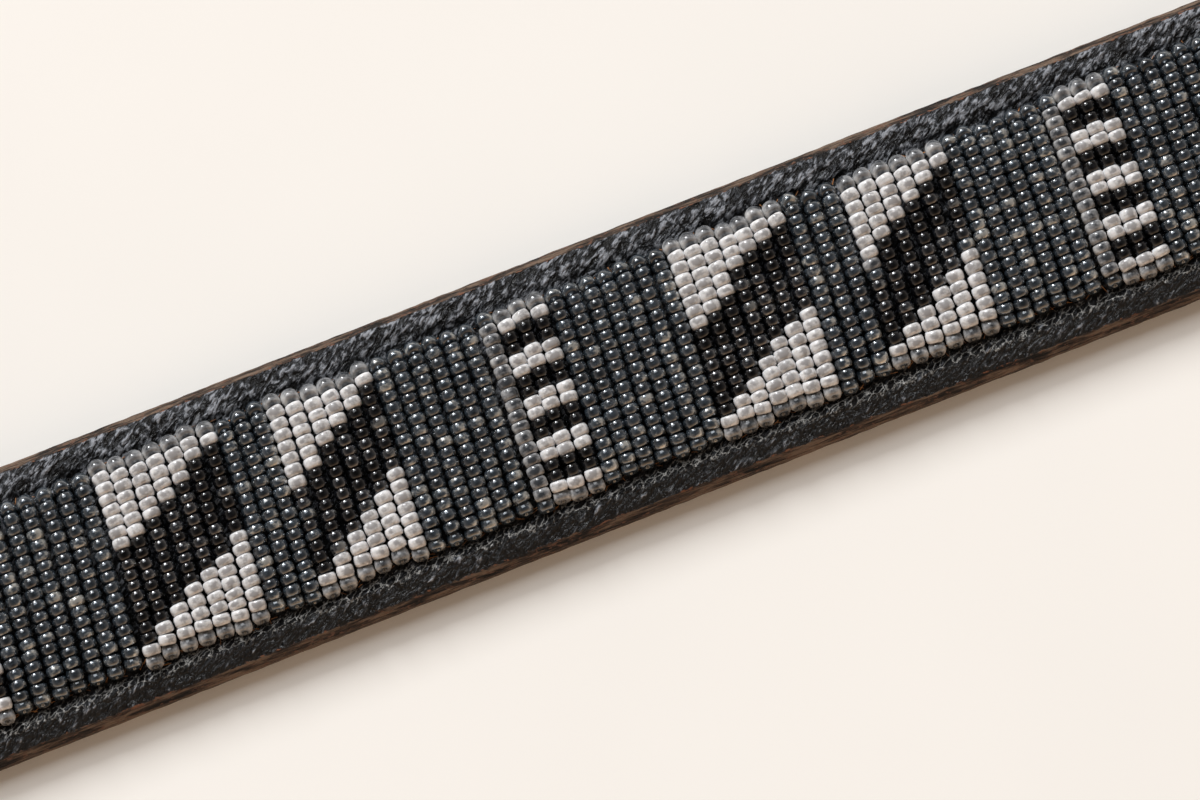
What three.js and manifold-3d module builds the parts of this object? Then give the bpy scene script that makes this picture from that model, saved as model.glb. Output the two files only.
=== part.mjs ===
// A leather belt sewn with cross rows of seed beads, laid out straight and flat with its beads up.
// Millimetres, +Z up. +X runs from the buckle to the tip. The origin is under the middle of the belt.

import * as THREE from "three";
import { mergeVertices } from "three/addons/utils/BufferGeometryUtils.js";
import Module from "manifold-3d";

const wasm = await Module();
wasm.setup();

// Strap
const strapWidth = 35;
const strapThickness = 3.5;
const frontBevel = 0.9; // the raw bevel on both long edges of the grain side
const backBevel = 0.4;
const barToMiddleHole = 850; // the size that a belt is sold by
const middleHoleToTip = 150;
const tipLength = 34;
const holeCount = 5;
const holePitch = 25;
const holeClearance = 0.8;

// Chape, the thinner piece of leather that turns round the buckle's bar and holds the strap's end
const chapeThickness = 2;
const chapeLength = 44;
const chapeFrontBevel = 0.5;
const chapeBackBevel = 0.3;
const strapFromSlot = 1.5; // the strap's end lies this far behind the prong's slot
const restRamp = 30; // from the raised end of the strap down to the floor

// Beadwork
const beadDiameter = 2.3;
const columnPitch = 2.3;
const bandWidth = 25.5;
const nearMargin = 4.85; // bare leather on the -Y side, its bevel included
const barToBand = 96;
const rowLean = 2.9; // degrees that a row leans towards the tip at its +Y end
const repeatCount = 8;
const repeatColumns = 33; // bars 4, plain 7, steps 7, plain 3, steps 6, plain 6
const leadColumns = 6;
const closingColumns = 11; // a last bars motif and 7 plain rows

// Buckle
const barDiameter = 3.6;
const frameThickness = 4;
const sideWidth = 5;
const endBarWidth = 5.5;
const windowLength = 31; // from the bar's axis to the end bar
const windowSideGap = 1.5; // between the strap's edge and the frame's side
const cornerRadius = 7;
const frameRounding = 0.7;
const prongWidth = 4;
const prongThickness = 2.8;
const prongOverhang = 0.8; // past the end bar
const knuckleWall = 1.3;
const prongSideGap = 1;
const slotPastBar = 11;

// Keeper loop, a leather loop for the tip
const keeperWidth = 10;
const keeperThickness = 2;
const keeperSideGap = 0.8;
const keeperHeadroom = 4.7; // room over the strap for the tip
const keeperFromChape = 2.5;

// Rivets, one near each edge of the strap
const rivetFromEdge = 8.5;
const rivetFromChapeEnd = 12;
const rivetShank = 4;
const rivetHead = 8.5;
const rivetHeadHeight = 1.4;
const rivetBackHead = 7;
const rivetBackHeight = 0.8;
const rivetRecess = 0.1; // the back head lies this far inside the chape

const fitGap = 0.3; // between pieces that touch on the real belt
const cutMargin = 2; // how far a cutting tool passes the faces that it cuts

const degrees = Math.PI / 180;
const barRadius = barDiameter / 2;
const barHeight = chapeThickness + fitGap + barRadius;
const wrapReach = barRadius + fitGap + chapeThickness;
const strapStart = slotPastBar + strapFromSlot;
const liftedBack = Math.max(chapeThickness, keeperThickness) + fitGap;
const liftedTop = liftedBack + strapThickness;
const chapeTop = liftedTop + fitGap + chapeThickness;
const keeperStart = chapeLength + keeperFromChape;
const rampStart = keeperStart + keeperWidth + keeperFromChape;
const tipX = barToMiddleHole + middleHoleToTip;

// Rows of a pointed tip: how far along the tip, and the share of the strap's width there
const tipShape = [
  { along: 0, width: 1 },
  { along: 0.3, width: 0.98 },
  { along: 0.55, width: 0.88 },
  { along: 0.76, width: 0.7 },
  { along: 0.92, width: 0.44 },
  { along: 1, width: 0.2 },
];

const leather = { color: 0x1d1e21, roughness: 0.6, metalness: 0 };
const beads = { color: 0x3a424a, roughness: 0.25, metalness: 0.2 };
const nickel = { color: 0xb9b6ae, roughness: 0.3, metalness: 1 };

const rivetX = chapeLength - rivetFromChapeEnd;
const rivetYs = [-1, 1].map((side) => side * (strapWidth / 2 - rivetFromEdge));

const smooth = (t) => t * t * (3 - 2 * t);
const steps = (count) => Array.from({ length: count }, (_, i) => (i + 1) / count);

// A closed geometry as a solid that can be cut and joined
function solid(geometry) {
  const bare = geometry.clone();
  bare.deleteAttribute("normal");
  bare.deleteAttribute("uv");
  const merged = mergeVertices(bare, 1e-4);
  return new wasm.Manifold(
    new wasm.Mesh({
      numProp: 3,
      vertProperties: new Float32Array(merged.attributes.position.array),
      triVerts: new Uint32Array(merged.index.array),
    }),
  );
}

// A solid as a named mesh with its own material
function piece(name, shape, look) {
  const cut = shape.getMesh();
  const geometry = new THREE.BufferGeometry();
  geometry.setAttribute("position", new THREE.BufferAttribute(cut.vertProperties, 3));
  geometry.setIndex(new THREE.BufferAttribute(cut.triVerts, 1));
  geometry.computeVertexNormals();
  const mesh = new THREE.Mesh(geometry, new THREE.MeshStandardMaterial(look));
  mesh.name = name;
  return mesh;
}

// A closed skin through rings of points, all of one count, with a flat cap on each end
function loft(rings) {
  const size = rings[0].length;
  const points = rings.flat().flatMap((p) => [p.x, p.y, p.z]);
  const faces = [];
  for (let r = 0; r + 1 < rings.length; r++) {
    for (let i = 0; i < size; i++) {
      const a = r * size + i;
      const b = r * size + ((i + 1) % size);
      faces.push(a, b, b + size, a, b + size, a + size);
    }
  }
  const last = (rings.length - 1) * size;
  for (let i = 1; i + 1 < size; i++) {
    faces.push(0, i + 1, i);
    faces.push(last, last + i, last + i + 1);
  }
  const geometry = new THREE.BufferGeometry();
  geometry.setAttribute("position", new THREE.Float32BufferAttribute(points, 3));
  geometry.setIndex(faces);
  return geometry;
}

// An upright round cutter or shank between two heights
function post(x, y, low, high, diameter) {
  const round = new THREE.CylinderGeometry(diameter / 2, diameter / 2, high - low, 16);
  round.rotateX(90 * degrees).translate(x, y, (low + high) / 2);
  return solid(round);
}

// A stop on a strip of leather's middle line in the XZ plane
const stop = (x, z, thickness, heading = 0, width = 1) => ({ x, z, thickness, heading, width });
const slope = (rise, run, t) => Math.atan2(rise * 6 * t * (1 - t), run);

// A strip's bevelled section at a stop, with the grain side on the left of the heading
function stripRing(at, front, back) {
  const half = (strapWidth / 2) * at.width;
  const face = at.thickness / 2;
  const outline = [
    [-half, back - face],
    [-half + back, -face],
    [half - back, -face],
    [half, back - face],
    [half, face - front],
    [half - front, face],
    [-half + front, face],
    [-half, face - front],
  ];
  return outline.map(([across, rise]) => {
    const x = at.x - rise * Math.sin(at.heading);
    return new THREE.Vector3(x, across, at.z + rise * Math.cos(at.heading));
  });
}

// The strap: raised on the chape and the keeper loop, down to the floor, then straight to the tip
function strap() {
  const raised = liftedBack + strapThickness / 2;
  const stops = [stop(strapStart, raised, strapThickness), stop(rampStart, raised, strapThickness)];
  for (const t of steps(8)) {
    const z = raised - liftedBack * smooth(t);
    stops.push(stop(rampStart + restRamp * t, z, strapThickness, slope(-liftedBack, restRamp, t)));
  }
  for (const row of tipShape) {
    stops.push(stop(tipX - tipLength * (1 - row.along), strapThickness / 2, strapThickness, 0, row.width));
  }
  let shape = solid(loft(stops.map((at) => stripRing(at, frontBevel, backBevel))));

  for (let i = 0; i < holeCount; i++) {
    const x = barToMiddleHole + (i - (holeCount - 1) / 2) * holePitch;
    shape = shape.subtract(post(x, 0, -cutMargin, strapThickness + cutMargin, prongWidth + holeClearance));
  }
  for (const y of rivetYs) {
    shape = shape.subtract(post(rivetX, y, 0, liftedTop + cutMargin, rivetShank + 2 * fitGap));
  }
  return piece("strap", shape, leather);
}

// The chape: under the strap's end, round the buckle's bar and back over the strap's end
function chape() {
  const low = chapeThickness / 2;
  const high = chapeTop - chapeThickness / 2;
  const stops = [stop(chapeLength, low, chapeThickness, 180 * degrees)];
  const wrapRadius = barRadius + fitGap + chapeThickness / 2;
  for (const t of [0, ...steps(12)]) {
    const turn = (-90 - 180 * t) * degrees;
    const x = wrapRadius * Math.cos(turn);
    const z = barHeight + wrapRadius * Math.sin(turn);
    stops.push(stop(x, z, chapeThickness, turn - 90 * degrees));
  }
  const wrapTop = barHeight + wrapRadius;
  for (const t of steps(4)) {
    const z = wrapTop + (high - wrapTop) * smooth(t);
    stops.push(stop(slotPastBar * t, z, chapeThickness, slope(high - wrapTop, slotPastBar, t)));
  }
  stops.push(stop(chapeLength, high, chapeThickness));
  let shape = solid(loft(stops.map((at) => stripRing(at, chapeFrontBevel, chapeBackBevel))));

  // The slot that lets the prong through where the leather turns round the bar
  const slotWidth = prongWidth + 2 * prongSideGap;
  const slotStart = -wrapReach - cutMargin;
  const slotEnd = slotPastBar - slotWidth / 2;
  const top = chapeTop + cutMargin;
  const channel = new THREE.BoxGeometry(slotEnd - slotStart, slotWidth, top + cutMargin);
  channel.translate((slotStart + slotEnd) / 2, 0, (top - cutMargin) / 2);
  shape = shape.subtract(solid(channel)).subtract(post(slotEnd, 0, -cutMargin, top, slotWidth));

  const recessTop = rivetRecess + rivetBackHeight + fitGap;
  for (const y of rivetYs) {
    shape = shape.subtract(post(rivetX, y, -cutMargin, top, rivetShank + 2 * fitGap));
    shape = shape.subtract(post(rivetX, y, -cutMargin, recessTop, rivetBackHead + 2 * fitGap));
  }
  return piece("chape", shape, leather);
}

// The beadwork: one rounded rib for each row of beads, sewn side by side across the strap
function beadBand() {
  const columns = leadColumns + repeatCount * repeatColumns + closingColumns;
  const seat = strapThickness + fitGap;
  const nearEdge = -strapWidth / 2 + nearMargin;
  const middle = nearEdge + bandWidth / 2;
  const shoulder = beadDiameter * 0.45;
  const ring = (x, height) =>
    [
      [nearEdge, 0],
      [nearEdge + bandWidth, 0],
      [nearEdge + bandWidth, height * 0.5],
      [nearEdge + bandWidth - shoulder, height],
      [nearEdge + shoulder, height],
      [nearEdge, height * 0.5],
    ].map(([y, z]) => new THREE.Vector3(x + (y - middle) * Math.tan(rowLean * degrees), y, seat + z));

  const valley = beadDiameter * 0.72;
  const rings = [ring(barToBand, valley)];
  for (let i = 0; i < columns; i++) {
    rings.push(ring(barToBand + (i + 0.5) * columnPitch, beadDiameter));
    rings.push(ring(barToBand + (i + 1) * columnPitch, valley));
  }
  return piece("bead_band", solid(loft(rings)), beads);
}

// The buckle: a frame with a round bar and a prong, made about the bar's axis and tipped until its
// end bar touches the floor
function buckle() {
  const inside = strapWidth / 2 + windowSideGap;
  const outside = inside + sideWidth;
  const reach = windowLength + endBarWidth;
  const innerRadius = Math.max(cornerRadius - sideWidth, 1);
  const profile = new THREE.Shape();
  profile.moveTo(barRadius, -outside);
  profile.lineTo(barRadius, -inside);
  profile.lineTo(-windowLength + innerRadius, -inside);
  profile.absarc(-windowLength + innerRadius, -inside + innerRadius, innerRadius, -90 * degrees, -180 * degrees, true);
  profile.absarc(-windowLength + innerRadius, inside - innerRadius, innerRadius, 180 * degrees, 90 * degrees, true);
  profile.lineTo(barRadius, inside);
  profile.lineTo(barRadius, outside);
  profile.absarc(-reach + cornerRadius, outside - cornerRadius, cornerRadius, 90 * degrees, 180 * degrees, false);
  profile.absarc(-reach + cornerRadius, -outside + cornerRadius, cornerRadius, 180 * degrees, 270 * degrees, false);
  const frame = new THREE.ExtrudeGeometry(profile, {
    depth: frameThickness - 2 * frameRounding,
    bevelThickness: frameRounding,
    bevelSize: frameRounding,
    bevelOffset: -frameRounding,
    bevelSegments: 2,
    curveSegments: 6,
  });
  frame.translate(0, 0, frameRounding - frameThickness / 2);

  const bar = new THREE.CylinderGeometry(barRadius, barRadius, 2 * inside + sideWidth, 16);
  const knuckleRadius = barRadius + knuckleWall;
  const knuckle = new THREE.CylinderGeometry(knuckleRadius, knuckleRadius, prongWidth, 16);

  // The prong's side view, from the knuckle to the tip that lies on the end bar
  const rest = frameThickness / 2 - frameRounding / 2;
  const side = new THREE.Shape();
  side.moveTo(0, 0);
  side.lineTo(-windowLength, rest);
  side.lineTo(-reach - prongOverhang, rest);
  side.lineTo(-reach - prongOverhang, rest + prongThickness * 0.6);
  side.lineTo(-windowLength, rest + prongThickness);
  side.lineTo(0, knuckleRadius);
  const prong = new THREE.ExtrudeGeometry(side, { depth: prongWidth, bevelEnabled: false });
  prong.rotateX(90 * degrees).translate(0, prongWidth / 2, 0);

  const shape = solid(frame).add(solid(bar)).add(solid(knuckle)).add(solid(prong));
  const mesh = piece("buckle", shape, nickel);
  const half = frameThickness / 2;
  const tip = Math.asin(barHeight / Math.hypot(reach, half)) - Math.atan2(half, reach);
  mesh.rotation.y = -tip;
  mesh.position.z = barHeight;
  return mesh;
}

// The keeper loop: a closed leather band round the strap, standing proud to take the tip, loose
// behind the chape
function keeperLoop() {
  const rounded = (path, half, low, high, radius) => {
    path.moveTo(-half + radius, low);
    path.lineTo(half - radius, low);
    path.absarc(half - radius, low + radius, radius, -90 * degrees, 0, false);
    path.absarc(half - radius, high - radius, radius, 0, 90 * degrees, false);
    path.absarc(-half + radius, high - radius, radius, 90 * degrees, 180 * degrees, false);
    path.absarc(-half + radius, low + radius, radius, 180 * degrees, 270 * degrees, false);
    return path;
  };
  const inner = strapWidth / 2 + keeperSideGap;
  const roof = liftedTop + keeperHeadroom;
  const cornerInside = 0.5;
  const outline = rounded(
    new THREE.Shape(),
    inner + keeperThickness,
    0,
    roof + keeperThickness,
    cornerInside + keeperThickness,
  );
  outline.holes.push(rounded(new THREE.Path(), inner, keeperThickness, roof, cornerInside));
  const band = new THREE.ExtrudeGeometry(outline, { depth: keeperWidth, bevelEnabled: false, curveSegments: 4 });
  // The outline's axes become Y and Z, and its depth runs along X
  band.rotateX(90 * degrees).rotateZ(90 * degrees).translate(keeperStart, 0, 0);
  return piece("keeper_loop", solid(band), leather);
}

// A domed rivet through the strap and both layers of the chape
function rivet(name, y) {
  const seat = chapeTop + fitGap;
  const backTop = rivetRecess + rivetBackHeight;
  const profile = [
    new THREE.Vector2(0, rivetRecess),
    new THREE.Vector2(rivetBackHead / 2, rivetRecess),
    new THREE.Vector2(rivetBackHead / 2, backTop),
    new THREE.Vector2(rivetShank / 2, backTop),
    new THREE.Vector2(rivetShank / 2, seat),
    new THREE.Vector2(rivetHead / 2, seat),
  ];
  for (const t of steps(4)) {
    const turn = t * 90 * degrees;
    profile.push(new THREE.Vector2((rivetHead / 2) * Math.cos(turn), seat + rivetHeadHeight * Math.sin(turn)));
  }
  profile[profile.length - 1].x = 0;
  const turned = new THREE.LatheGeometry(profile, 16);
  turned.rotateX(90 * degrees).translate(rivetX, y, 0);
  return piece(name, solid(turned), nickel);
}

const belt = new THREE.Group();
belt.add(strap(), chape(), beadBand(), buckle(), keeperLoop());
rivetYs.forEach((y, i) => belt.add(rivet(`rivet_${i + 1}`, y)));

// Put the origin under the middle of the whole belt
belt.updateMatrixWorld(true);
const extent = new THREE.Box3().setFromObject(belt, true);
const centre = extent.getCenter(new THREE.Vector3());
belt.position.set(-centre.x, -centre.y, -extent.min.z);

export default belt;
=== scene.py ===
# A leather belt sewn with cross rows of seed beads, lying flat on a pale floor with its beads up.
# Metres. +X runs from the buckle to the tip, +Y to the wider leather margin, +Z up through the beads.

import math
import random

import bmesh
import bpy
import numpy as np
from mathutils import Matrix, Vector, noise


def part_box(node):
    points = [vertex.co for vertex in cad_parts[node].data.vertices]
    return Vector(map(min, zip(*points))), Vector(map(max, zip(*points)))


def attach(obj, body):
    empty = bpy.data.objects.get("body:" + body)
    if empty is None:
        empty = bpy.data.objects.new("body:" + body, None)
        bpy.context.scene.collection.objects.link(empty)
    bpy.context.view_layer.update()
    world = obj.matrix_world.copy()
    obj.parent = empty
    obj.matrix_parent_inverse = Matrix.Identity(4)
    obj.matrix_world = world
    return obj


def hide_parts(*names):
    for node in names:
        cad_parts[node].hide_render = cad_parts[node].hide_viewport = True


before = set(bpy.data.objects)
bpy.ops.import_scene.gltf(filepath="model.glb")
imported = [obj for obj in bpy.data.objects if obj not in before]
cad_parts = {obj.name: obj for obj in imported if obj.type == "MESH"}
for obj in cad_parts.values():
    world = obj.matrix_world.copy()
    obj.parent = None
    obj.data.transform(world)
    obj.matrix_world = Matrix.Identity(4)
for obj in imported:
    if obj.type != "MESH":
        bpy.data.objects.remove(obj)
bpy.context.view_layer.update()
MM = 0.001

# Strap
# One long strip of bridle leather, dyed black on its grain side and brown inside, as its cut edges
# show. It is cut with a strap cutter, its front edges are bevelled, and one end is pointed and punched.

STRAP_THICKNESS = 3.5 * MM
FRONT_BEVEL = 0.9 * MM
BACK_BEVEL = 0.4 * MM
ALONG_STEP = 0.62 * MM
EDGE_SPREAD = 0.1 * MM
TIP_LENGTH = 34 * MM
RAMP_LENGTH = 30 * MM
KEEPER_ROOM = 2.5 * MM
CREASE_TURN = math.radians(-36)
HOLE_DIAMETER = 4.8 * MM
HOLE_PITCH = 25 * MM
HOLE_COUNT = 5
MIDDLE_HOLE_FROM_TIP = 150 * MM
RIVET_HOLE = 4.6 * MM
RIVET_FROM_EDGE = 8.5 * MM
RIVET_FROM_CHAPE_END = 12 * MM

strap_low, strap_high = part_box("strap")
band_low, band_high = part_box("bead_band")
chape_low, chape_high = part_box("chape")
keeper_low, keeper_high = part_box("keeper_loop")
half_width = strap_high.y
strap_lift = strap_high.z - STRAP_THICKNESS
ramp_start = keeper_high.x + KEEPER_ROOM
rivet_x = chape_high.x - RIVET_FROM_CHAPE_END
rivet_y = half_width - RIVET_FROM_EDGE

# Share of the tip's length, and of the strap's width there
TIP_SHAPE = [(0.0, 1.0), (0.3, 0.98), (0.55, 0.88), (0.76, 0.7), (0.92, 0.44), (1.0, 0.2)]


def smooth(low, high, value):
    """Rises gently from 0 at low to 1 at high."""
    t = min(max((value - low) / (high - low), 0), 1)
    return t * t * (3 - 2 * t)


def new_mesh_piece(name, bm, materials):
    """Makes a bmesh an object of its own with smooth faces and its materials."""
    mesh = bpy.data.meshes.new(name)
    bm.to_mesh(mesh)
    bm.free()
    for material in materials:
        mesh.materials.append(material)
    for face in mesh.polygons:
        face.use_smooth = True
    made = bpy.data.objects.new(name, mesh)
    bpy.context.scene.collection.objects.link(made)
    return made


def colour(code, alpha=1.0):
    """An sRGB hex colour in linear values."""
    parts = [int(code[i:i + 2], 16) / 255 for i in (1, 3, 5)]
    return tuple(p / 12.92 if p <= 0.04045 else ((p + 0.055) / 1.055) ** 2.4 for p in parts) + (alpha,)


def add(tree, kind, inputs=None, **settings):
    """Adds a node, makes its settings, and sets or links each of its inputs."""
    made = tree.nodes.new("ShaderNode" + kind)
    for name, value in settings.items():
        setattr(made, name, value)
    for name, value in (inputs or {}).items():
        if isinstance(value, bpy.types.NodeSocket):
            tree.links.new(value, made.inputs[name])
        else:
            made.inputs[name].default_value = value
    return made


def new_material(name):
    """An empty material and its node tree."""
    made = bpy.data.materials.new(name)
    made.use_nodes = True
    made.node_tree.nodes.clear()
    return made, made.node_tree


def finish_material(tree, inputs):
    """Ends a tree in a Principled surface with these inputs."""
    surface = add(tree, "BsdfPrincipled", inputs)
    add(tree, "OutputMaterial", {"Surface": surface.outputs["BSDF"]})


def ramp(tree, source, stops):
    """A colour ramp through (place, colour) stops."""
    made = add(tree, "ValToRGB", {"Fac": source})
    elements = made.color_ramp.elements
    while len(elements) < len(stops):
        elements.new(0.5)
    for element, (place, value) in zip(elements, stops):
        element.position = place
        element.color = value
    return made.outputs["Color"]


def millimetres(tree, scale=(1, 1, 1), turn=0.0):
    """Object coordinates in millimetres, turned about Z and stretched."""
    place = add(tree, "TexCoord")
    turned = add(tree, "Mapping", {"Vector": place.outputs["Object"], "Rotation": (0, 0, turn)})
    sizes = tuple(s / MM for s in scale)
    return add(tree, "Mapping", {"Vector": turned.outputs["Vector"], "Scale": sizes}).outputs["Vector"]


def mixed(tree, share, first, second):
    """A blend of two colours."""
    made = add(tree, "Mix", {"Factor": share, "A": first, "B": second}, data_type="RGBA")
    return made.outputs["Result"]


def sum_of(tree, *terms):
    """The sum of each value times its factor."""
    total = 0.0
    for value, factor in terms:
        made = add(tree, "Math", {0: value, 1: factor, 2: total}, operation="MULTIPLY_ADD")
        total = made.outputs["Value"]
    return total


def bridle_leather():
    """Black dyed grain, crumpled in facets of 1 mm that shine like slate, and brown fibre where it is cut. The
    slate shine is partly a painted sheen on the facet tops, the creases and cell hollows are darkened with painted
    shade, and painted light lifts the +Y half.
    """
    made, tree = new_material("bridle_leather_black_grain_brown_cut")
    place = millimetres(tree)
    drift = add(tree, "TexNoise", {"Vector": place, "Scale": 0.9, "Detail": 2.0})
    moved = add(tree, "VectorMath", {0: millimetres(tree, (0.85, 1.3, 1), CREASE_TURN),
                                     1: drift.outputs["Color"]}, operation="ADD")
    cells = add(tree, "TexVoronoi", {"Vector": moved.outputs["Vector"], "Scale": 0.95}, feature="F1")
    creases = add(tree, "TexNoise", {"Vector": millimetres(tree, (0.45, 1.3, 1), CREASE_TURN), "Scale": 0.9,
                                     "Detail": 2.0, "Roughness": 0.5, "Distortion": 0.8})
    pores = add(tree, "TexNoise", {"Vector": millimetres(tree, (0.6, 1.5, 1), CREASE_TURN), "Scale": 1.9,
                                   "Detail": 3.0, "Roughness": 0.6, "Distortion": 0.6})
    layers = add(tree, "TexNoise", {"Vector": millimetres(tree, (0.12, 1.3, 1.3)), "Scale": 1.3, "Detail": 4.0,
                                    "Roughness": 0.7})
    flecks = add(tree, "TexNoise", {"Vector": millimetres(tree, (0.7, 1.6, 1.6)), "Scale": 1.4, "Detail": 3.0,
                                    "Roughness": 0.7})
    cut = add(tree, "Attribute", attribute_name="cut")
    # Painted light that lifts the dye over the +Y half of the strap.
    scuff = add(tree, "Attribute", attribute_name="scuff")
    crazed = add(tree, "Attribute", attribute_name="crazed")
    edge = sum_of(tree, (cut.outputs["Fac"], 1.0), (flecks.outputs["Fac"], 0.9), (-0.45, 1.0))
    is_cut = ramp(tree, edge, [(0.5, (0, 0, 0, 1)), (0.58, (1, 1, 1, 1))])

    # Painted shade and sheen: the black dye darkens in the creases and cell hollows and turns slate grey on the
    # facet tops, and painted light lifts the +Y half.
    grain_painted_shade_level = sum_of(tree, (cells.outputs["Distance"], -0.3), (creases.outputs["Fac"], 0.75),
                   (pores.outputs["Fac"], 0.9), (scuff.outputs["Fac"], 0.17), (-0.31, 1.0))
    dye_with_painted_shade = ramp(tree, grain_painted_shade_level, [(0.36, colour("#030304")), (0.46, colour("#0e0f11")), (0.56, colour("#33363b")),
                             (0.68, colour("#8b8e94"))])
    twist = add(tree, "TexNoise", {"Vector": place, "Scale": 1.6, "Detail": 4.0, "Roughness": 0.7})
    wound = add(tree, "VectorMath", {0: millimetres(tree, (0.6, 1.3, 1), CREASE_TURN),
                                     1: twist.outputs["Color"]}, operation="ADD")
    crackle = add(tree, "TexVoronoi", {"Vector": wound.outputs["Vector"], "Scale": 1.1},
                  feature="DISTANCE_TO_EDGE")
    line = ramp(tree, crackle.outputs["Distance"], [(0.0, (1, 1, 1, 1)), (0.08, (0, 0, 0, 1))])
    rubbed = sum_of(tree, (crazed.outputs["Fac"], 0.4), (twist.outputs["Fac"], 0.7), (pores.outputs["Fac"], 0.5))
    where = ramp(tree, rubbed, [(0.82, (0, 0, 0, 1)), (0.98, (1, 1, 1, 1))])
    worn = add(tree, "Math", {0: line, 1: where}, operation="MULTIPLY")
    face = mixed(tree, worn.outputs["Value"], dye_with_painted_shade, colour("#bcbbb7"))
    fibre = ramp(tree, layers.outputs["Fac"], [(0.41, colour("#100c09")), (0.5, colour("#3f3229")),
                                               (0.6, colour("#705d4e"))])
    rust = ramp(tree, edge, [(0.5, colour("#8f5a3e")), (0.9, colour("#64483a"))])
    rusty = ramp(tree, flecks.outputs["Fac"], [(0.57, (0, 0, 0, 1)), (0.63, (1, 1, 1, 1))])
    side = mixed(tree, rusty, fibre, rust)
    body = mixed(tree, is_cut, face, side)

    shine = add(tree, "MapRange", {"Value": pores.outputs["Fac"], "From Min": 0.35, "From Max": 0.65,
                                   "To Min": 0.24, "To Max": 0.42})
    rough = add(tree, "Mix", {"Factor": is_cut, "A": shine.outputs["Result"], "B": 0.75})
    relief = sum_of(tree, (cells.outputs["Distance"], -0.35), (creases.outputs["Fac"], 1.0),
                    (pores.outputs["Fac"], 0.5), (worn.outputs["Value"], 0.03))
    cut_relief = sum_of(tree, (layers.outputs["Fac"], 0.8), (flecks.outputs["Fac"], 0.4))
    height = add(tree, "Mix", {"Factor": is_cut, "A": relief, "B": cut_relief})
    bump = add(tree, "Bump", {"Height": height.outputs["Result"], "Distance": 0.9 * MM, "Strength": 1.0})
    finish_material(tree, {"Base Color": body, "Roughness": rough.outputs["Result"], "Specular IOR Level": 0.24,
                           "Normal": bump.outputs["Normal"]})
    return made


def flesh_leather():
    """The back of the hide: dyed dark brown, matt and short in nap."""
    made, tree = new_material("bridle_leather_flesh_side")
    nap = add(tree, "TexNoise", {"Vector": millimetres(tree), "Scale": 2.4, "Detail": 6.0, "Roughness": 0.7})
    body = ramp(tree, nap.outputs["Fac"], [(0.35, colour("#241c17")), (0.65, colour("#40332a"))])
    bump = add(tree, "Bump", {"Height": nap.outputs["Fac"], "Distance": 0.25 * MM, "Strength": 0.8})
    finish_material(tree, {"Base Color": body, "Roughness": 0.85, "Normal": bump.outputs["Normal"]})
    return made


leather = bridle_leather()
leather_flesh = flesh_leather()


def strap_section():
    """The strap's outline across its run as (y, z, cut), cut being 1 where the knife left bare fibre."""
    rim = STRAP_THICKNESS - FRONT_BEVEL
    margin_end = half_width - FRONT_BEVEL
    back = [(-half_width + BACK_BEVEL, 0, 1), (half_width - BACK_BEVEL, 0, 1)]
    far_wall = [(half_width, z, 1) for z in (0.4 * MM, 1.1 * MM, 1.8 * MM)]
    far_bevel = [(half_width - FRONT_BEVEL * t, rim + FRONT_BEVEL * t, bare)
                 for t, bare in ((0, 1), (0.35, 0.95), (0.7, 0.8))]
    far_margin = np.linspace(margin_end, band_high.y - 0.4 * MM, 12)
    under_beads = np.linspace(band_high.y - 0.4 * MM, band_low.y + 0.4 * MM, 5)[1:-1]
    near_margin = np.linspace(band_low.y + 0.4 * MM, -margin_end, 10)
    face = [(float(y), STRAP_THICKNESS, 0.0) for y in (*far_margin, *under_beads, *near_margin)]
    face[0] = face[0][:2] + (0.55,)
    face[-1] = face[-1][:2] + (0.55,)
    near_bevel = [(-y, z, bare) for y, z, bare in reversed(far_bevel)]
    near_wall = [(-y, z, bare) for y, z, bare in reversed(far_wall)]
    return back + far_wall + far_bevel + face + near_bevel + near_wall


# Height beside the beads in mm, by distance out from the bead ends: pressed down by the stitches, then
# pushed up in a ridge, close and sharp on the -Y side and wide on the +Y side
NEAR_RIDGE = [(-2.6, 0.0), (-0.9, -0.3), (0.35, -0.35), (1.35, 0.55), (2.1, 0.5), (3.9, 0.0)]
FAR_RIDGE = [(-2.6, 0.0), (-0.9, -0.3), (0.3, -0.2), (1.0, 0.25), (1.9, 0.42), (3.0, 0.4), (3.75, 0.1)]


def beside_beads(y):
    """How far the leather swells or sinks beside the sewn-down beads, at a place across the strap."""
    out, ridge = (y - band_high.y, FAR_RIDGE) if y > 0 else (band_low.y - y, NEAR_RIDGE)
    places, heights = zip(*ridge)
    return float(np.interp(out / MM, places, heights)) * MM


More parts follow.
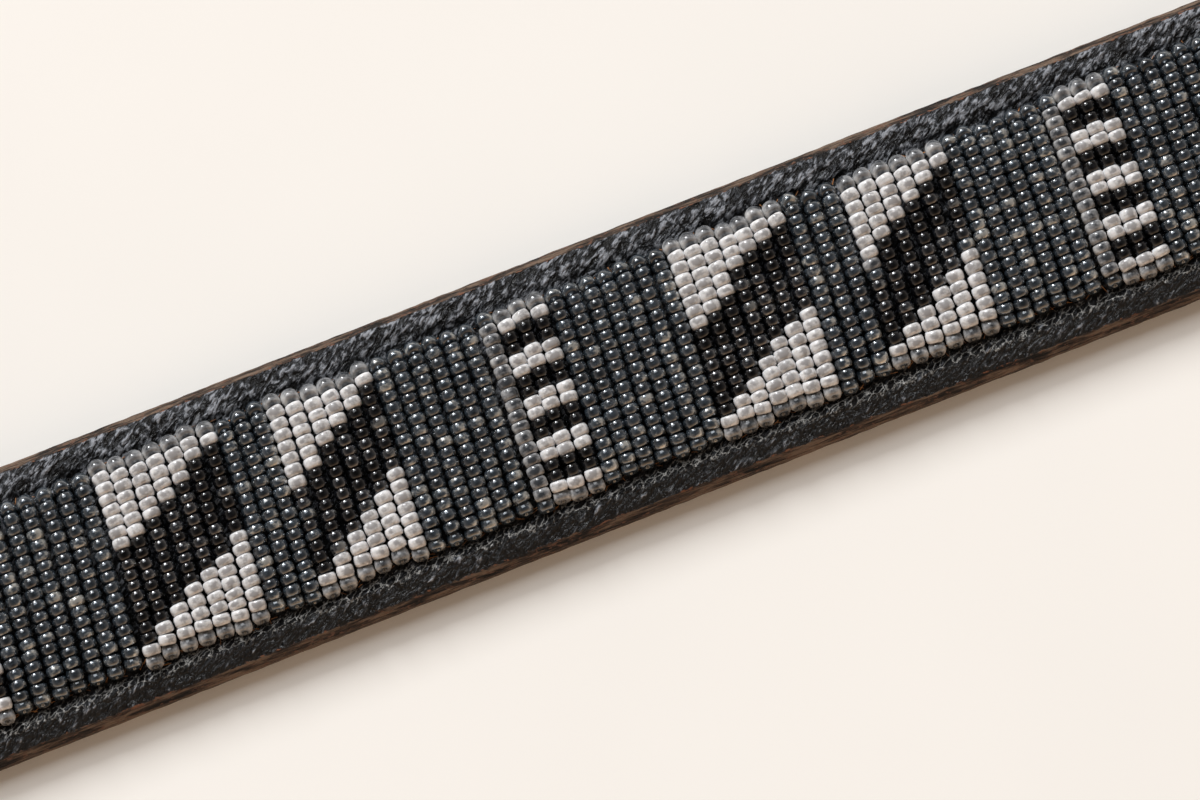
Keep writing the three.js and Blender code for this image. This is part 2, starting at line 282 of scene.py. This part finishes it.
def strap_shape(bm):
    """Bends the straight strip to the lift, the ramp, the swollen margins, the creases and the tip."""
    tip_start = strap_high.x - TIP_LENGTH
    shares, widths = zip(*TIP_SHAPE)
    for v in bm.verts:
        x, y, z = v.co
        if x > tip_start:
            y *= float(np.interp((x - tip_start) / TIP_LENGTH, shares, widths))
        on_face = smooth(0.6, 1.0, z / STRAP_THICKNESS)
        beads_here = smooth(band_low.x - 5 * MM, band_low.x, x) - smooth(band_high.x, band_high.x + 5 * MM, x)
        slanted = Matrix.Rotation(CREASE_TURN, 3, "Z") @ Vector((x, y, 0))
        crease = noise.noise(Vector((slanted.x / (3.4 * MM), slanted.y / (1.0 * MM), 0)))
        pocket = noise.noise(Vector((x / (2.1 * MM), y / (1.5 * MM), 7)))
        wander = 1 + 0.3 * noise.noise(Vector((x / (9 * MM), 0, 3 if y > 0 else 9)))
        far_side = smooth(band_high.y - 2 * MM, band_high.y, y)
        depth = (0.05 + 0.15 * beads_here * (0.45 + 0.75 * far_side)) * MM
        z += on_face * (beside_beads(y) * beads_here * wander + depth * (crease + 0.8 * pocket))
        fray = noise.noise(Vector((x / (1.4 * MM), y / (0.9 * MM), z / (0.5 * MM))))
        y += (math.copysign(EDGE_SPREAD, y) + 0.08 * MM * fray) * smooth(0.9, 1.0, abs(y) / half_width)
        z += strap_lift * (1 - smooth(ramp_start, ramp_start + RAMP_LENGTH, x))
        v.co = (x, y, z)


def make_strap():
    """A fine grid rolled into the strap's outline, closed along its back and at both ends."""
    section = strap_section()
    steps = round((strap_high.x - strap_low.x) / ALONG_STEP)
    bm = bmesh.new()
    bmesh.ops.create_grid(bm, x_segments=steps, y_segments=len(section), size=1)
    scuff = bm.verts.layers.float.new("scuff")
    crazed = bm.verts.layers.float.new("crazed")
    cut = bm.verts.layers.float.new("cut")
    for v in bm.verts:
        along = (v.co.x + 1) / 2
        point = round((v.co.y + 1) / 2 * len(section)) % len(section)
        y, z, v[cut] = section[point]
        # Painted light: 1 over the +Y half of the strap, whose dye the leather material lightens as if lit by the
        # window.
        v[scuff] = smooth(-1 * MM, 0, y)
        v[crazed] = 1 - smooth(0, 2.0 * MM, abs(y - (band_low.y - 1.0 * MM)))
        v.co = (strap_low.x + along * (strap_high.x - strap_low.x), y, z)
    bmesh.ops.remove_doubles(bm, verts=bm.verts, dist=0.001 * MM)
    bmesh.ops.holes_fill(bm, edges=[e for e in bm.edges if e.is_boundary], sides=0)
    bmesh.ops.recalc_face_normals(bm, faces=bm.faces)
    for face in bm.faces:
        face.material_index = 1 if face.calc_center_median().z < 0.1 * MM else 0
    strap_shape(bm)
    return new_mesh_piece("strap_leather", bm, [leather, leather_flesh])


def punch(piece, places, diameter):
    """Cuts round holes straight down through a piece of leather."""
    bm = bmesh.new()
    for x, y in places:
        made = bmesh.ops.create_cone(bm, cap_ends=True, segments=24, radius1=diameter / 2, radius2=diameter / 2,
                                     depth=40 * MM)
        bmesh.ops.translate(bm, verts=made["verts"], vec=(x, y, 0))
    cutter = new_mesh_piece("cutter", bm, [])
    cut = piece.modifiers.new("punch", "BOOLEAN")
    cut.object = cutter
    cut.solver = "EXACT"
    done = bpy.data.meshes.new_from_object(piece.evaluated_get(bpy.context.evaluated_depsgraph_get()))
    piece.modifiers.clear()
    piece.data = done
    bpy.data.objects.remove(cutter)


strap = make_strap()
hole_xs = [strap_high.x - MIDDLE_HOLE_FROM_TIP + (i - (HOLE_COUNT - 1) / 2) * HOLE_PITCH for i in range(HOLE_COUNT)]
punch(strap, [(x, 0) for x in hole_xs], HOLE_DIAMETER)
punch(strap, [(rivet_x, -rivet_y), (rivet_x, rivet_y)], RIVET_HOLE)
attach(strap, "root")
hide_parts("strap")

# Chape
# A thinner strip of the same leather, turned round the buckle's bar with the strap's end between its
# layers, and held by two rivets. A slot in its turn lets the prong through.

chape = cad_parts["chape"]
chape.data.materials.clear()
chape.data.materials.append(leather)

# Beads
# Size 10 seed beads of drawn and cut glass tube, tumbled round: gunmetal lustre, black, pearl white and
# clear grey. They are strung on waxed thread, a row at a time, and sewn down through the leather.

PITCH = 2.3 * MM
LEAD_ROWS = 6
REPEATS = 8
REPEAT_ROWS = 33
BEAD_SIDES = 12

# N gunmetal, D dark gunmetal, B black, W pearl white, G clear grey; each row from its +Y end
PLAIN = "N" * 18
BARS = ["NGGGGGGGGGGGGGGGGN", "GWBBWWBBWWBBWWBBWG", "GWBBWWBBWWBBWWBBWG", "GWBBWWBBWWBBWWBBWG"]


def steps_motif(rows):
    """Rows that slope from white over dark to white: (whites above, the dark beads, whites below)."""
    return ["G" + "W" * above + dark + "W" * below + "G" for above, dark, below in rows]


WIDE_STEPS = [
    steps_motif([(7, "BDDDDDBBB", 1), (6, "BBDDBDBB", 2), (5, "BDDBDDBB", 3), (4, "BDDBDDBB", 4),
                 (3, "BDDDBDDB", 5), (2, "BBBBBBDBB", 6), (1, "BBBBDBBB", 7)]),
    steps_motif([(7, "BBDDDBBB", 1), (6, "BBBDDBDB", 2), (5, "BBBDDDDB", 3), (3, "BDBDDBDB", 4),
                 (2, "BBDDDDDB", 5), (2, "BBBBDDDB", 6), (1, "BBBDDDDD", 7)]),
]
NARROW_STEPS = [
    steps_motif([(7, "DDNDNBBB", 1), (6, "BBBBDBDD", 2), (4, "BBBDDDBD", 3), (3, "BDDDBBDD", 4),
                 (2, "BBBDDBBD", 5), (1, "BBBDDBDD", 7)]),
    steps_motif([(6, "GNDDDBBB", 1), (5, "BBBDBBDB", 2), (4, "BDBBDBBB", 3), (3, "BBBBDDDD", 4),
                 (2, "BDBBDDDD", 5), (1, "BBBDBDDN", 6)]),
]


def chart():
    """Every row of the belt, from the buckle's end to the tip's."""
    rows = [PLAIN] * LEAD_ROWS
    for i in range(REPEATS):
        hand = (i + 1) % 2
        rows += BARS + [PLAIN] * 7 + WIDE_STEPS[hand] + [PLAIN] * 3 + NARROW_STEPS[hand] + [PLAIN] * 6
    return rows + BARS + [PLAIN] * 7


# Each glass: its code, the beads' width and their length along the row
GLASS = {"N": (2.29, 1.34), "D": (2.26, 1.36), "B": (2.25, 1.38), "W": (2.32, 1.46), "G": (2.3, 1.4)}
MEAN_ROW = 25.1


# The bead's outline from end to end: its share of the half length, and of the radius
ROUNDED = [(-1.0, 0.6), (-0.85, 0.87), (-0.38, 0.985), (0.38, 0.985), (0.85, 0.87), (1.0, 0.6)]
DRILLED = [(-0.7, 0.15), (-0.97, 0.22), (-1.0, 0.42), (-0.87, 0.8), (-0.42, 0.985), (0.38, 0.985), (0.85, 0.87),
           (1.0, 0.6)]
# Sides are closer together over the top, which shows: even turns from the top, and where they go
EVEN_TURNS = [0, 30, 60, 90, 120, 150, 180]
TOP_TURNS = [0, 22, 44, 67, 93, 130, 180]


def bead_shape(outline):
    """A bead of unit radius and half length that lies along Y, with its smoothest side up."""
    bm = bmesh.new()
    verts = [bm.verts.new((0, along, radius)) for along, radius in outline]
    edges = [bm.edges.new(pair) for pair in zip(verts, verts[1:])]
    bmesh.ops.spin(bm, geom=verts + edges, angle=math.tau, steps=BEAD_SIDES, axis=(0, 1, 0), cent=(0, 0, 0),
                   use_merge=True)
    bmesh.ops.remove_doubles(bm, verts=bm.verts, dist=0.0001)
    bmesh.ops.holes_fill(bm, edges=[e for e in bm.edges if e.is_boundary], sides=BEAD_SIDES)
    bmesh.ops.recalc_face_normals(bm, faces=bm.faces)
    for v in bm.verts:
        turn = math.degrees(math.atan2(v.co.x, v.co.z))
        moved = math.radians(math.copysign(float(np.interp(abs(turn), EVEN_TURNS, TOP_TURNS)), turn))
        radius = math.hypot(v.co.x, v.co.z)
        v.co.x = radius * math.sin(moved)
        v.co.z = radius * math.cos(moved)
    mesh = bpy.data.meshes.new("bead_shape")
    bm.to_mesh(mesh)
    bm.free()
    return mesh


def strew(name, shape, beads, materials):
    """Joins one copy of a small mesh for each (turn, sizes, place, material, tone)."""
    count = len(beads)
    verts = np.empty(len(shape.vertices) * 3)
    shape.vertices.foreach_get("co", verts)
    verts = verts.reshape(-1, 3)
    corners = np.empty(len(shape.loops), dtype=np.int32)
    shape.loops.foreach_get("vertex_index", corners)
    starts = np.empty(len(shape.polygons), dtype=np.int32)
    shape.polygons.foreach_get("loop_start", starts)
    turns = np.array([b["turn"] for b in beads])
    sizes = np.array([b["size"] for b in beads])
    places = np.array([b["place"] for b in beads])
    placed = np.einsum("nij,nvj->nvi", turns, verts[None] * sizes[:, None]) + places[:, None]

    mesh = bpy.data.meshes.new(name)
    mesh.vertices.add(count * len(verts))
    mesh.loops.add(count * len(corners))
    mesh.polygons.add(count * len(starts))
    mesh.vertices.foreach_set("co", placed.ravel())
    first = np.arange(count)[:, None]
    mesh.loops.foreach_set("vertex_index", (corners[None] + first * len(verts)).ravel().astype(np.int32))
    mesh.polygons.foreach_set("loop_start", (starts[None] + first * len(corners)).ravel().astype(np.int32))
    slots = np.repeat([b["slot"] for b in beads], len(starts)).astype(np.int32)
    mesh.polygons.foreach_set("material_index", slots)
    mesh.polygons.foreach_set("use_smooth", np.ones(count * len(starts), dtype=bool))
    for material in materials:
        mesh.materials.append(material)
    on_bead = mesh.attributes.new("on_bead", "FLOAT_VECTOR", "POINT")
    on_bead.data.foreach_set("vector", np.tile(verts, (count, 1)).ravel())
    tone = mesh.attributes.new("tone", "FLOAT", "POINT")
    tone.data.foreach_set("value", np.repeat([b["tone"] for b in beads], len(verts)))
    shift = mesh.attributes.new("shift", "FLOAT", "POINT")
    shift.data.foreach_set("value", np.repeat([b["shift"] for b in beads], len(verts)))
    mesh.update(calc_edges=True)
    mesh.validate()
    made = bpy.data.objects.new(name, mesh)
    bpy.context.scene.collection.objects.link(made)
    return made


def bead_noise(tree, scale, detail, stretch=(1, 1, 1)):
    """Noise that runs over a bead's own surface and differs from bead to bead."""
    on_bead = add(tree, "Attribute", attribute_name="on_bead")
    shift = add(tree, "Attribute", attribute_name="shift")
    placed = add(tree, "VectorMath", {0: on_bead.outputs["Vector"], 1: stretch}, operation="MULTIPLY")
    return add(tree, "TexNoise", {"Vector": placed.outputs["Vector"], "W": shift.outputs["Fac"], "Scale": scale,
                                  "Detail": detail, "Roughness": 0.6}, noise_dimensions="4D")


# Painted shade round a bead's hole, strongest on its end faces.
HOLE_PAINTED_SHADE = 0.9


def bead_heart(tree, spread):
    """High on the middle of a bead's top and round its hole, and low at its rims, with its own tone added. The
    ramps turn high to grey, so this paints shade round the hole and painted light that makes the rims paler.
    """
    on_bead = add(tree, "Attribute", attribute_name="on_bead")
    tone = add(tree, "Attribute", attribute_name="tone")
    cloud = bead_noise(tree, 1.3, 2.0)
    parts = add(tree, "SeparateXYZ", {"Vector": on_bead.outputs["Vector"]})
    across = add(tree, "Math", {0: parts.outputs["X"], 1: 2.0}, operation="POWER")
    along = add(tree, "Math", {0: parts.outputs["Y"], 1: 2.0}, operation="POWER")
    radius = add(tree, "Math", {0: parts.outputs["Z"], 1: parts.outputs["Z"], 2: across.outputs["Value"]},
                 operation="MULTIPLY_ADD")
    return sum_of(tree, (across.outputs["Value"], -spread), (along.outputs["Value"], -spread),
                  (radius.outputs["Value"], -HOLE_PAINTED_SHADE), (cloud.outputs["Fac"], 1.4), (tone.outputs["Fac"], 1.0),
                  (0.3 + HOLE_PAINTED_SHADE, 1.0))


def gunmetal_glass(name, dark, light, worn, metal):
    """Smoky glass under a fired metal lustre: a dull streaked mirror, paler in worn spots, with painted light that
    makes it paler at its rims, on its +X side and towards its -Y end, and painted shade that darkens the middle of
    its end faces round the hole.
    """
    made, tree = new_material(name)
    tone = add(tree, "Attribute", attribute_name="tone")
    on_bead = add(tree, "Attribute", attribute_name="on_bead")
    parts = add(tree, "SeparateXYZ", {"Vector": on_bead.outputs["Vector"]})
    across = add(tree, "Math", {0: parts.outputs["X"], 1: 2.0}, operation="POWER")
    radius = add(tree, "Math", {0: parts.outputs["Z"], 1: parts.outputs["Z"], 2: across.outputs["Value"]},
                 operation="MULTIPLY_ADD")
    cloud = bead_noise(tree, 0.9, 3.0)
    streak = bead_noise(tree, 2.6, 4.0, (1, 0.5, 1))
    # Painted light and shade by place on the bead: paler at its rims, on its +X side and towards its -Y end, and
    # darker in the middle of its end faces.
    shade = sum_of(tree, (tone.outputs["Fac"], 1.0), (cloud.outputs["Fac"], 1.0), (parts.outputs["X"], 0.09),
                   (parts.outputs["Y"], -0.05), (across.outputs["Value"], 0.05),
                   (radius.outputs["Value"], 0.12), (-0.14, 1.0))
    # The pale top of this ramp stands both for worn lustre and for the painted light on the bead sides.
    body = ramp(tree, shade, [(0.34, colour(dark)), (0.58, colour(light)), (0.7, colour(worn))])
    rough = add(tree, "MapRange", {"Value": streak.outputs["Fac"], "From Min": 0.35, "From Max": 0.68,
                                   "To Min": 0.08, "To Max": 0.3})
    bump = add(tree, "Bump", {"Height": streak.outputs["Fac"], "Distance": 0.04 * MM, "Strength": 0.7})
    finish_material(tree, {"Base Color": body, "Metallic": metal, "Roughness": rough.outputs["Result"],
                           "Coat Weight": 1.0, "Coat Roughness": 0.05, "Coat IOR": 1.7,
                           "Normal": bump.outputs["Normal"]})
    return made


def black_glass():
    """Jet black glass, fire polished: deep, with small sharp lights."""
    made, tree = new_material("jet_black_glass")
    cloud = bead_noise(tree, 1.5, 2.0)
    body = ramp(tree, cloud.outputs["Fac"], [(0.45, colour("#060607")), (0.7, colour("#17181b"))])
    finish_material(tree, {"Base Color": body, "Roughness": 0.06, "IOR": 1.53})
    return made


def pearl_glass():
    """White glass with a pearl coat: milky, greyer at the heart where the hole shows through, with painted shade
    round the hole and rims made paler by painted light.
    """
    made, tree = new_material("pearl_white_glass")
    body = ramp(tree, bead_heart(tree, 0.75), [(0.4, colour("#dddcdc")), (0.72, colour("#c9c8c7")),
                                               (1.0, colour("#939191"))])
    finish_material(tree, {"Base Color": body, "Roughness": 0.32, "Subsurface Weight": 0.2,
                           "Subsurface Radius": (0.6, 0.5, 0.45), "Subsurface Scale": 1.0 * MM,
                           "Coat Weight": 0.3, "Coat Roughness": 0.08, "IOR": 1.5})
    return made


def clear_grey_glass():
    """Clear glass with a thin grey lining: dark at the thread in the hole, with painted shade round the hole, and
    pale where light gathers, which is painted light.
    """
    made, tree = new_material("clear_grey_glass")
    body = ramp(tree, bead_heart(tree, 0.8), [(0.2, colour("#b9b8b6")), (0.6, colour("#858688")),
                                              (1.0, colour("#34373b"))])
    finish_material(tree, {"Base Color": body, "Roughness": 0.16, "IOR": 1.52, "Coat Weight": 0.4,
                           "Coat Roughness": 0.05})
    return made


bead_glass = [
    gunmetal_glass("gunmetal_lustre_glass", "#20272d", "#434d56", "#a9a8a3", 0.45),
    gunmetal_glass("dark_gunmetal_lustre_glass", "#0b0c0f", "#20242a", "#666664", 0.35),
    black_glass(),
    pearl_glass(),
    clear_grey_glass(),
]
glass_slot = {code: i for i, code in enumerate("NDBWG")}

ROW_RISE = 0.95 * MM
ROW_GAP = 0.3 * MM
FAR_END_TILT = (-42, -28)
NEAR_END_TILT = (30, 44)
END_RUN = 4.5 * MM
END_SINK = 0.55 * MM
END_DROP = 0.25 * MM
row_middle_y = (band_low.y + band_high.y) / 2
row_half = (band_high.y - band_low.y) / 2
bead_seat = band_low.z + ROW_RISE


# By row, in mm: how far hand sewing has let the rows creep along the belt, and how far a row's +Y end
# leans towards the tip
ROW_CREEP = [(0, 0), (30, 0), (108, -2.25), (116, -1.2), (122, -0.58), (126, -0.6), (131, -0.26), (138, 0),
             (149, 0), (155, -0.36), (159, 0.07), (164, 0.6), (170, 0.2), (173, 0), (281, 0)]
ROW_LEAN = [(0, 0.8), (105, 1.06), (116, 1.12), (122, 1.1), (126, 0.92), (131, 0.78), (139, 0.76), (149, 0.85),
            (155, 0.88), (159, 1.05), (164, 0.98), (171, 0.42), (174, 0.36), (200, 0.8), (281, 0.8)]


def by_row(table, i):
    """A value from a table by row, evenly graded between its rows."""
    rows, values = zip(*table)
    return float(np.interp(i, rows, values)) * MM


def row_place(i):
    """A row's place along the belt: each repeat starts with a wider gap and is packed tighter after it."""
    since_gap = ((i - LEAD_ROWS) % REPEAT_ROWS) / REPEAT_ROWS
    return band_low.x + (i + 0.5) * PITCH + ROW_GAP * (0.5 - since_gap) + by_row(ROW_CREEP, i)


def on_row(row, away):
    """A place on a row's thread: away runs from -1 at the +Y end to 1 at the -Y end."""
    t = -away
    dip = max(0.0, 1 - (1 - abs(t)) * row_half / END_RUN)
    hook = max(0.0, (t - 0.8) / 0.2)
    along = row["lean"] * t - 0.12 * MM * t * t - 0.22 * MM * hook ** 2 + row["bow"] * math.cos(t * math.pi / 2)
    return Vector((row["x"] + along, row_middle_y + t * row["half"], bead_seat - END_SINK * dip ** 2))


def lay_row(draws, i, codes):
    """The beads of one row, packed end to end along its thread."""
    lengths = [GLASS[c][1] * draws.uniform(0.9, 1.1) for c in codes]
    total = sum(lengths)
    row = {"x": row_place(i) + draws.gauss(0, 0.05) * MM, "bow": draws.gauss(0, 0.06) * MM,
           "lean": by_row(ROW_LEAN, i), "half": row_half * (total / MEAN_ROW) ** 0.6}
    beads = []
    run = 0.0
    for k, (code, length) in enumerate(zip(codes, lengths)):
        middle = (run + length / 2) / total * 2 - 1
        run += length
        place = on_row(row, middle)
        heading = on_row(row, middle - 0.02) - on_row(row, middle + 0.02)
        turn = heading.to_track_quat("Y", "Z").to_matrix()
        wobble = Matrix.Rotation(math.radians(draws.gauss(0, 2.5)), 3, "Z")
        wobble = wobble @ Matrix.Rotation(math.radians(draws.gauss(0, 2.5)), 3, "X")
        roll = Matrix.Rotation(math.radians(draws.gauss(0, 7)), 3, "Y")
        far_end = k == 0
        near_end = k == len(codes) - 1
        if far_end or near_end:
            tilt = draws.uniform(*(NEAR_END_TILT if near_end else FAR_END_TILT))
            wobble = wobble @ Matrix.Rotation(math.radians(-tilt if near_end else tilt), 3, "X")
            place.z -= END_DROP
        width = GLASS[code][0] * MM / 2 * draws.uniform(0.97, 1.025) * (1.05 if far_end else 1.0)
        half = length / total * row["half"] * draws.uniform(1.0, 1.04)
        odd = draws.random()
        beads.append({
            "turn": turn @ wobble @ roll,
            "size": (width, half * (1.15 if far_end or near_end else 1.0), width),
            "place": place + Vector((draws.gauss(0, 0.03), 0, draws.gauss(0, 0.035))) * MM,
            "slot": glass_slot[code],
            "tone": draws.gauss(0, 0.06) + (0.12 if odd > 0.97 else 0),
            "shift": draws.uniform(0, 100),
            "drilled": near_end,
            "outer": far_end or near_end,
        })
    return beads


def make_beads():
    """All the rows, in sections small enough to handle, and the -Y end beads, whose holes show."""
    draws = random.Random(11)
    rows = chart()
    inner_shape = bead_shape(ROUNDED)
    end_shape = bead_shape(DRILLED)
    sections = 6
    per_section = math.ceil(len(rows) / sections)
    places = []
    for s in range(sections):
        inner = []
        drilled = []
        for i in range(s * per_section, min((s + 1) * per_section, len(rows))):
            codes = rows[i]
            if codes == PLAIN and draws.random() < 0.15:
                codes = codes + "N"
            for bead in lay_row(draws, i, codes):
                (drilled if bead["drilled"] else inner).append(bead)
                if bead["outer"]:
                    places.append(bead["place"])
        for kind, shape, beads in (("beads", inner_shape, inner), ("end_beads", end_shape, drilled)):
            piece = strew(f"{kind}_{s + 1}", shape, beads, bead_glass)
            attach(piece, "root")
            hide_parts("bead_band")
    return places


row_ends = make_beads()

# Stitches and fibres
# Waxed thread shows in orange-brown wisps where it dives between the bead ends, and short loose fibres
# stand out from the cut edges of the leather.

THREAD_WIDTH = 0.17 * MM
FIBRE_WIDTH = 0.05 * MM


def wisp_shape():
    """A straight three-sided strand, narrower at one end, of unit length and width, along X."""
    bm = bmesh.new()
    bmesh.ops.create_cone(bm, cap_ends=True, segments=3, radius1=0.5, radius2=0.3, depth=1)
    cuts = [g for g in bm.edges if abs(g.verts[0].co.z - g.verts[1].co.z) > 0.5]
    bmesh.ops.subdivide_edges(bm, edges=cuts, cuts=2)
    bmesh.ops.rotate(bm, verts=bm.verts, cent=(0, 0, 0), matrix=Matrix.Rotation(math.radians(90), 3, "Y"))
    mesh = bpy.data.meshes.new("wisp_shape")
    bm.to_mesh(mesh)
    bm.free()
    return mesh


def strand(name, low_tone, high_tone, rough):
    """A twisted strand in a brown between two tones, matt and fibrous."""
    made, tree = new_material(name)
    tone = add(tree, "Attribute", attribute_name="tone")
    body = ramp(tree, tone.outputs["Fac"], [(0.0, colour(low_tone)), (1.0, colour(high_tone))])
    finish_material(tree, {"Base Color": body, "Roughness": rough})
    return made


def wisp(place, turn, length, width, tone, slot):
    """One strand for strew: its place, the way it points, its size and its tone."""
    return {"place": place, "turn": turn, "size": (length, width, width), "tone": tone, "shift": 0.0, "slot": slot}


def make_wisps():
    """Thread between the row ends, and fibres on the cut edges."""
    draws = random.Random(23)
    wisps = []
    for place in row_ends:
        side = 1 if place.y > 0 else -1
        for _ in range(2 if side < 0 else 1):
            out = Vector((PITCH * draws.uniform(0.35, 0.65), side * draws.uniform(0.1, 0.9) * MM, 0))
            spot = place + out
            spot.z = STRAP_THICKNESS + draws.uniform(-0.15, 0.3) * MM
            turn = Matrix.Rotation(draws.gauss(0, 0.6), 3, "Z") @ Matrix.Rotation(draws.gauss(0, 0.4), 3, "Y")
            wisps.append(wisp(spot, turn, draws.uniform(0.6, 1.3) * MM, THREAD_WIDTH * draws.uniform(0.7, 1.2),
                              draws.random(), 0))
    for _ in range(1500):
        side = draws.choice((-1, 1))
        spot = Vector((draws.uniform(strap_low.x, strap_high.x - TIP_LENGTH), 0, 0))
        drop = draws.random()
        spot.y = side * (half_width - FRONT_BEVEL * max(0.0, 1 - 2 * drop) + 0.03 * MM)
        lift = strap_lift * (1 - smooth(ramp_start, ramp_start + RAMP_LENGTH, spot.x))
        spot.z = STRAP_THICKNESS * (1 - 0.8 * drop) + lift
        turn = (Matrix.Rotation(draws.uniform(0.15, 0.9) * side * draws.choice((1, 1, -0.4)), 3, "Z")
                @ Matrix.Rotation(draws.uniform(-0.6, 0.3), 3, "Y"))
        wisps.append(wisp(spot, turn, draws.uniform(0.25, 0.8) * MM, FIBRE_WIDTH, draws.random(), 1))
    made = strew("thread_and_fibres", wisp_shape(), wisps,
                 [strand("waxed_thread_ochre", "#5e3d22", "#b0753f", 0.5),
                  strand("loose_leather_fibre", "#2a1d16", "#80583c", 0.8)])
    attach(made, "root")
    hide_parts("bead_band")


make_wisps()

# Buckle
# A cast frame with its bar and prong, tumbled and plated with satin nickel.


def satin_nickel():
    """Nickel plate over a tumbled casting: warm grey metal with faint soft marks."""
    made, tree = new_material("satin_nickel_plate")
    marks = add(tree, "TexNoise", {"Vector": millimetres(tree), "Scale": 1.4, "Detail": 5.0, "Roughness": 0.6})
    body = ramp(tree, marks.outputs["Fac"], [(0.3, colour("#8f8b83")), (0.7, colour("#b9b5ac"))])
    rough = add(tree, "MapRange", {"Value": marks.outputs["Fac"], "To Min": 0.2, "To Max": 0.38})
    finish_material(tree, {"Base Color": body, "Metallic": 1.0, "Roughness": rough.outputs["Result"]})
    return made


nickel = satin_nickel()
for node_name in ("buckle", "rivet_1", "rivet_2"):
    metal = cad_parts[node_name]
    metal.data.materials.clear()
    metal.data.materials.append(nickel)

# Keeper loop
# A strip of the same leather closed round the strap, loose, so that it slides to hold the tip.

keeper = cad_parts["keeper_loop"]
keeper.data.materials.clear()
keeper.data.materials.append(leather)

# Floor
# A plain pale sheet, wide enough for every view.

FLOOR_HALF = 30.0


def pale_paper():
    """Warm white paper, matt and even."""
    made, tree = new_material("warm_white_paper")
    mottle = add(tree, "TexNoise", {"Vector": millimetres(tree), "Scale": 0.02, "Detail": 2.0})
    body = ramp(tree, mottle.outputs["Fac"], [(0.3, colour("#f6f4ef")), (0.7, colour("#f8f6f1"))])
    finish_material(tree, {"Base Color": body, "Roughness": 0.9, "Specular IOR Level": 0.2})
    return made


bm = bmesh.new()
bmesh.ops.create_grid(bm, x_segments=1, y_segments=1, size=FLOOR_HALF)
floor = new_mesh_piece("floor", bm, [pale_paper()])

# Camera
# A long lens nearly straight above the middle of the beadwork, turned so that the belt climbs to the
# upper right, and set a little to the -Y side.

BELT_CLIMB = math.radians(21.62)
CAMERA_TILT = math.radians(8.8)
CAMERA_DISTANCE = 0.9
FRAME_WIDTH = 149.6 * MM
AIM = Vector((-56.8 * MM, -2.16 * MM, STRAP_THICKNESS))
SENSOR = 36.0

image_right = Vector((math.cos(BELT_CLIMB), -math.sin(BELT_CLIMB), 0))
image_up = Vector((math.sin(BELT_CLIMB), math.cos(BELT_CLIMB), 0))
back = (Vector((0, 0, math.cos(CAMERA_TILT))) - image_up * math.sin(CAMERA_TILT)).normalized()
camera_data = bpy.data.cameras.new("camera")
camera_data.sensor_width = SENSOR
camera_data.lens = SENSOR * CAMERA_DISTANCE / FRAME_WIDTH
camera_data.clip_start = 0.05
camera_data.clip_end = 100
camera = bpy.data.objects.new("camera", camera_data)
turned = Matrix((image_right, back.cross(image_right), back)).transposed()
camera.matrix_world = Matrix.Translation(AIM + back * CAMERA_DISTANCE) @ turned.to_4x4()
bpy.context.scene.collection.objects.link(camera)
bpy.context.scene.camera = camera

# Light
# A window from the upper left of the picture, the bright sky above it, and a room with a dark ceiling,
# which leaves the tops of the beads deep. It is brightest low down, and warm on the -Y side, where wood
# faces the belt, which gives the shadow its brown and the beads their beige rims.

WINDOW_DISTANCE = 6.0
SIDE_ANGLE = math.radians(32)
# Each: its height angle in degrees, width, height, power and tint
WINDOW = (29, 1.15, 2.2, 362, "#fcfdff")
SKY = (52, 4.4, 3.0, 134, "#f8fbff")
ROOM_TINT = "#fff3e8"
SIDE_TINT = "#ffd4a9"
ROOM_LOW = 0.64
ROOM_SIDE = 1.3
ROOM_TOP = 0.05


def area_light(name, height_angle, width, height, power, tint):
    """A flat bright area that faces the beadwork from the picture's upper left."""
    climb = math.radians(height_angle)
    level = image_up * math.cos(SIDE_ANGLE) - image_right * math.sin(SIDE_ANGLE)
    toward = level * math.cos(climb) + Vector((0, 0, math.sin(climb)))
    data = bpy.data.lights.new(name, "AREA")
    data.shape = "RECTANGLE"
    data.size = width
    data.size_y = height
    data.energy = power
    data.color = colour(tint)[:3]
    made = bpy.data.objects.new(name, data)
    made.location = AIM + toward * WINDOW_DISTANCE
    made.rotation_mode = "QUATERNION"
    made.rotation_quaternion = toward.to_track_quat("Z", "Y")
    bpy.context.scene.collection.objects.link(made)


area_light("window", *WINDOW)
area_light("sky", *SKY)

room = bpy.data.worlds.new("room")
bpy.context.scene.world = room
room.use_nodes = True
room_tree = room.node_tree
direction = add(room_tree, "TexCoord")
parts = add(room_tree, "SeparateXYZ", {"Vector": direction.outputs["Generated"]})
from_top = add(room_tree, "Math", {0: 1.0, 1: parts.outputs["Z"]}, operation="SUBTRACT", use_clamp=True)
falling = add(room_tree, "Math", {0: from_top.outputs["Value"], 1: 1.3}, operation="POWER")
near_side = add(room_tree, "Math", {0: parts.outputs["Y"], 1: -1.0}, operation="MULTIPLY", use_clamp=True)
low_light = sum_of(room_tree, (near_side.outputs["Value"], ROOM_SIDE), (ROOM_LOW, 1.0))
strength = add(room_tree, "Math", {0: falling.outputs["Value"], 1: low_light, 2: ROOM_TOP},
               operation="MULTIPLY_ADD")
tint = mixed(room_tree, near_side.outputs["Value"], colour(ROOM_TINT), colour(SIDE_TINT))
background = room_tree.nodes["Background"]
room_tree.links.new(tint, background.inputs["Color"])
room_tree.links.new(strength.outputs["Value"], background.inputs["Strength"])
bpy.context.scene.view_settings.view_transform = "Standard"
